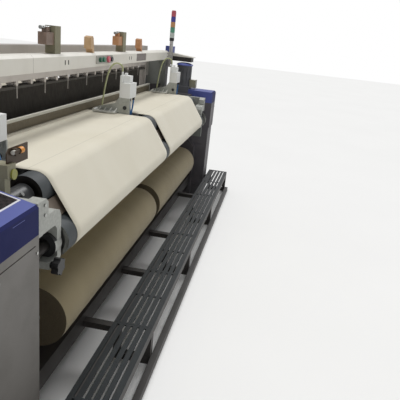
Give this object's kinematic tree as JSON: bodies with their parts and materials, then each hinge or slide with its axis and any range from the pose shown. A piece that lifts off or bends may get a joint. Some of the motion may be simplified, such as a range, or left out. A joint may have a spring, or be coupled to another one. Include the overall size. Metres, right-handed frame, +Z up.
{
  "type": "power loom",
  "caption": "Wide air-jet power loom with two cloths side by side, front rollers, cloth rolls, heald frames, reed, warp beam and a slotted footboard.",
  "frame": {"origin": "centre of the machine's plan box, on the floor", "axes": "+X to the right end as the weaver sees it, +Y from the weaver to the warp beam, +Z up"},
  "size_m": [4, 2.0399, 1.7],
  "materials": {
    "dark_frame": "satin",
    "cream_paint": "satin",
    "beam_paint": "satin",
    "feet_steel": "rough",
    "white_paint": "satin",
    "blue_paint": "gloss",
    "tan_block": "worn",
    "panel_grey": "matte",
    "green_button": "gloss",
    "light_green_button": "gloss",
    "red_button": "gloss",
    "black_button": "gloss",
    "motor_paint": "satin",
    "turned_steel": "turned",
    "belt_rubber": "matte",
    "deck_paint": "worn",
    "rail_paint": "worn",
    "roller_cover": "matte",
    "guard_paint": "satin",
    "cast_alloy": "cast",
    "knob_plastic": "matte",
    "cloth_white": "woven",
    "cloth_roll": "woven",
    "reed_steel": "satin",
    "alloy_grey": "anodised",
    "heald_steel": "oiled",
    "warp_yarn": "sized yarn",
    "gear_steel": "hobbed",
    "unit_white": "gloss",
    "blue_hose": "gloss",
    "sensor_khaki": "satin",
    "lamp_clear": "translucent",
    "pole_alloy": "anodised",
    "box_paint": "satin"
  },
  "bodies": {
    "loom": {"left_side_frame": "dark_frame", "right_side_frame": "dark_frame", "cross_beams": "beam_paint", "levelling_feet": "feet_steel", "top_beam": "cream_paint", "frame_guides": "tan_block", "button_panel": "panel_grey", "left_cabinet": "white_paint", "right_cabinet": "dark_frame", "consoles": "blue_paint", "electric_cabinet": "white_paint", "right_shelf": "cream_paint", "main_motor": "motor_paint", "fan_motor": "motor_paint", "drive_belt": "belt_rubber", "footboard_deck": "deck_paint", "footboard_frame": "rail_paint", "gearboxes": "box_paint", "guard_plate": "guard_paint", "roller_brackets": "cast_alloy", "cloth": "cloth_white", "weft_cutter": "turned_steel", "warp_sheet": "warp_yarn", "stop_motion": "turned_steel", "tuck_in_units": "unit_white", "temple_brackets": "cast_alloy", "hoses": "blue_hose", "edge_sensor": "sensor_khaki", "signal_pole": "pole_alloy", "signal_lamps": "lamp_clear"},
    "cabinet_door": {"cabinet_door": "white_paint"},
    "start_button": {"start_button": "green_button"},
    "jog_button": {"jog_button": "light_green_button"},
    "stop_button": {"stop_button": "red_button"},
    "reset_button": {"reset_button": "black_button"},
    "main_shaft": {"main_shaft": "turned_steel"},
    "motor_pulley": {"motor_pulley": "turned_steel"},
    "sley": {"sley": "alloy_grey", "reed": "reed_steel", "nozzles": "turned_steel"},
    "heald_1": {"heald_frame_1": "alloy_grey", "healds_1": "heald_steel"},
    "heald_2": {"heald_frame_2": "alloy_grey", "healds_2": "heald_steel"},
    "heald_3": {"heald_frame_3": "alloy_grey", "healds_3": "heald_steel"},
    "heald_4": {"heald_frame_4": "alloy_grey", "healds_4": "heald_steel"},
    "cloth_roll": {"cloth_roll_shaft": "turned_steel", "cloth_rolls": "cloth_roll"},
    "breast_roller": {"breast_roller": "roller_cover"},
    "take_up_roller": {"take_up_roller": "roller_cover"},
    "take_up_pinion": {"take_up_pinion": "gear_steel"},
    "press_roller": {"press_roller": "roller_cover"},
    "clamp_handle": {"clamp_handle": "knob_plastic"},
    "warp_beam": {"warp_beam": "alloy_grey", "warp_yarn": "warp_yarn"},
    "let_off_pinion": {"let_off_pinion": "gear_steel"},
    "backrest_levers": {"backrest_levers": "dark_frame"},
    "backrest_roller": {"backrest_roller": "turned_steel"}
  },
  "joints": [
    {"name": "door_hinge", "type": "hinge", "parent": "loom", "child": "cabinet_door", "pos_m": [-1.9104, 0.46, 0.655], "axis": [0, 0, -1], "range_deg": [0, 110]},
    {"name": "main_shaft_turn", "type": "hinge", "parent": "loom", "child": "main_shaft", "pos_m": [0, -0.06, 0.42], "axis": [1, 0, 0], "continuous": true},
    {"name": "motor_pulley_turn", "type": "hinge", "parent": "loom", "child": "motor_pulley", "pos_m": [1.75, 0.33, 0.3], "axis": [1, 0, 0], "continuous": true},
    {"name": "sley_swing", "type": "hinge", "parent": "loom", "child": "sley", "pos_m": [0, -0.24, 0.6], "axis": [1, 0, 0], "range_deg": [-4.5, 5]},
    {"name": "cloth_roll_turn", "type": "hinge", "parent": "loom", "child": "cloth_roll", "pos_m": [0, -0.605, 0.412], "axis": [1, 0, 0], "continuous": true},
    {"name": "breast_roller_turn", "type": "hinge", "parent": "loom", "child": "breast_roller", "pos_m": [0, -0.61, 0.935], "axis": [1, 0, 0], "continuous": true},
    {"name": "take_up_turn", "type": "hinge", "parent": "loom", "child": "take_up_roller", "pos_m": [0, -0.705, 0.785], "axis": [1, 0, 0], "continuous": true},
    {"name": "take_up_pinion_turn", "type": "hinge", "parent": "loom", "child": "take_up_pinion", "pos_m": [1.532, -0.67938, 0.68937], "axis": [1, 0, 0], "continuous": true},
    {"name": "press_roller_turn", "type": "hinge", "parent": "loom", "child": "press_roller", "pos_m": [0, -0.61103, 0.7508], "axis": [1, 0, 0], "continuous": true},
    {"name": "clamp_turn", "type": "hinge", "parent": "loom", "child": "clamp_handle", "pos_m": [-1.5, -0.77, 0.732], "axis": [0, 1, 0], "range_deg": [-180, 180]},
    {"name": "warp_beam_turn", "type": "hinge", "parent": "loom", "child": "warp_beam", "pos_m": [0, 0.62, 0.43], "axis": [1, 0, 0], "continuous": true},
    {"name": "let_off_pinion_turn", "type": "hinge", "parent": "loom", "child": "let_off_pinion", "pos_m": [1.448, 0.40857, 0.35305], "axis": [1, 0, 0], "continuous": true},
    {"name": "backrest_swing", "type": "hinge", "parent": "loom", "child": "backrest_levers", "pos_m": [0, 0.64, 0.88], "axis": [1, 0, 0], "range_deg": [-3, 3], "stiffness_Nm_per_rad": 60000, "deforming": ["warp_sheet"]},
    {"name": "backrest_roller_turn", "type": "hinge", "parent": "backrest_levers", "child": "backrest_roller", "pos_m": [0, 0.76, 0.929], "axis": [1, 0, 0], "continuous": true},
    {"name": "start_press", "type": "slide", "parent": "loom", "child": "start_button", "axis": [0, 1, 0], "range_m": [0, 0.004], "stiffness_N_per_m": 400},
    {"name": "jog_press", "type": "slide", "parent": "loom", "child": "jog_button", "axis": [0, 1, 0], "range_m": [0, 0.004], "stiffness_N_per_m": 400},
    {"name": "stop_press", "type": "slide", "parent": "loom", "child": "stop_button", "axis": [0, 1, 0], "range_m": [0, 0.004], "stiffness_N_per_m": 400},
    {"name": "reset_press", "type": "slide", "parent": "loom", "child": "reset_button", "axis": [0, 1, 0], "range_m": [0, 0.004], "stiffness_N_per_m": 400},
    {"name": "heald_1_lift", "type": "slide", "parent": "loom", "child": "heald_1", "axis": [0, 0, 1], "range_m": [-0.045, 0.045]},
    {"name": "heald_2_lift", "type": "slide", "parent": "loom", "child": "heald_2", "axis": [0, 0, 1], "range_m": [-0.045, 0.045]},
    {"name": "heald_3_lift", "type": "slide", "parent": "loom", "child": "heald_3", "axis": [0, 0, 1], "range_m": [-0.045, 0.045]},
    {"name": "heald_4_lift", "type": "slide", "parent": "loom", "child": "heald_4", "axis": [0, 0, 1], "range_m": [-0.045, 0.045]}
  ],
  "couplings": [
    {"joint": "motor_pulley_turn", "follows": "main_shaft_turn", "ratio": 2.5},
    {"joint": "take_up_turn", "follows": "cloth_roll_turn", "ratio": -2},
    {"joint": "breast_roller_turn", "follows": "cloth_roll_turn", "ratio": -2.0625},
    {"joint": "press_roller_turn", "follows": "cloth_roll_turn", "ratio": 4.125},
    {"joint": "take_up_pinion_turn", "follows": "cloth_roll_turn", "ratio": 5.3333},
    {"joint": "let_off_pinion_turn", "follows": "warp_beam_turn", "ratio": -4},
    {"joint": "backrest_roller_turn", "follows": "warp_beam_turn", "ratio": 4.1429},
    {"joint": "heald_2_lift", "follows": "heald_1_lift", "ratio": -1},
    {"joint": "heald_3_lift", "follows": "heald_1_lift", "ratio": 1},
    {"joint": "heald_4_lift", "follows": "heald_1_lift", "ratio": -1}
  ]
}
